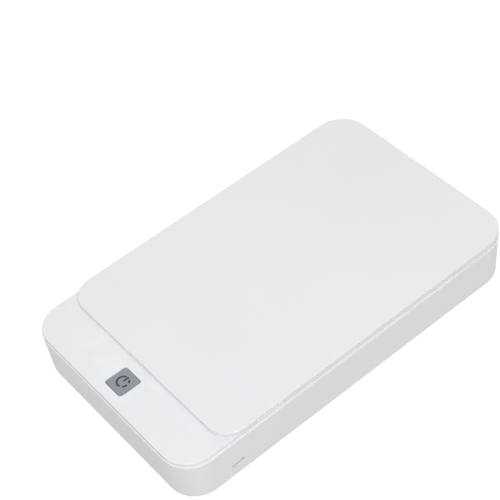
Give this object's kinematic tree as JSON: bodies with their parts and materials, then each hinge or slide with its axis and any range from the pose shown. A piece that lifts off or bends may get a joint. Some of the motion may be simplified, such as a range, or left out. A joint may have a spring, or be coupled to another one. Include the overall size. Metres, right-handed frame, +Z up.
{
  "type": "uv disinfection box",
  "caption": "Shallow hinged box whose thin lid opens on a white chamber between two long tube lamps, with a square power button on its front strip.",
  "frame": {"origin": "middle of the box between the undersides of its four rubber feet", "axes": "+Z up, +Y to the rear where the lid is hinged, +X to the side with the charging port"},
  "size_m": [0.131, 0.22, 0.0337],
  "materials": {
    "white_abs": "satin moulded white",
    "inner_white": "matt moulded white",
    "button_grey": "satin grey",
    "satin_mirror": "satin reflecting sheet",
    "aluminium": "bright sheet",
    "steel": "plated",
    "quartz": "clear tube",
    "cap_ceramic": "matt off-white",
    "board_green": "coated board",
    "ferrite": "matt dark grey",
    "black_plastic": "matt black",
    "ivory_plastic": "matt ivory",
    "lead_white": "soft insulated lead",
    "rubber": "matt black"
  },
  "bodies": {
    "base": {"lower_housing": "white_abs", "upper_deck": "white_abs", "hinge_bracket": "white_abs", "bracket_screw_1": "steel", "bracket_screw_2": "steel", "hinge_pin_left": "steel", "hinge_pin_right": "steel", "chamber_tray": "inner_white", "uv_lamp_left": "quartz", "lamp_cap_left_front": "cap_ceramic", "lamp_clip_left_front": "steel", "lamp_cap_left_rear": "cap_ceramic", "lamp_clip_left_rear": "steel", "reflector_left": "aluminium", "uv_lamp_right": "quartz", "lamp_cap_right_front": "cap_ceramic", "lamp_clip_right_front": "steel", "lamp_cap_right_rear": "cap_ceramic", "lamp_clip_right_rear": "steel", "reflector_right": "aluminium", "lamp_lead_left_front": "lead_white", "lamp_lead_left_rear": "lead_white", "lamp_lead_right_front": "lead_white", "lamp_lead_right_rear": "lead_white", "main_board": "board_green", "board_screw_1": "steel", "board_screw_2": "steel", "board_screw_3": "steel", "usb_socket": "steel", "lamp_transformer_left": "ferrite", "lamp_transformer_right": "ferrite", "capacitor_left": "aluminium", "capacitor_right": "aluminium", "controller_chip": "black_plastic", "lamp_connector_left": "ivory_plastic", "lamp_connector_right": "ivory_plastic", "board_link_header": "black_plastic", "switch_body": "steel", "button_board": "board_green", "button_board_screw_1": "steel", "button_board_screw_2": "steel", "reed_switch": "quartz", "foot_left_front": "rubber", "foot_left_rear": "rubber", "foot_right_front": "rubber", "foot_right_rear": "rubber", "housing_screw_1": "steel", "housing_screw_2": "steel", "housing_screw_3": "steel", "housing_screw_4": "steel"},
    "lid": {"lid_shell": "white_abs", "lid_liner": "inner_white", "lid_ring": "inner_white", "mirror_panel": "satin_mirror", "hinge_arm": "white_abs", "interlock_magnet": "steel"},
    "button": {"power_button": "button_grey", "switch_plunger": "black_plastic"}
  },
  "joints": [
    {"name": "lid_hinge", "type": "hinge", "parent": "base", "child": "lid", "pos_m": [0, 0.1055, 0.0242], "axis": [-1, 0, 0], "range_deg": [0, 101.5]},
    {"name": "button_press", "type": "slide", "parent": "base", "child": "button", "axis": [0, 0, -1], "range_m": [0, 0.0005], "stiffness_N_per_m": 1000}
  ]
}
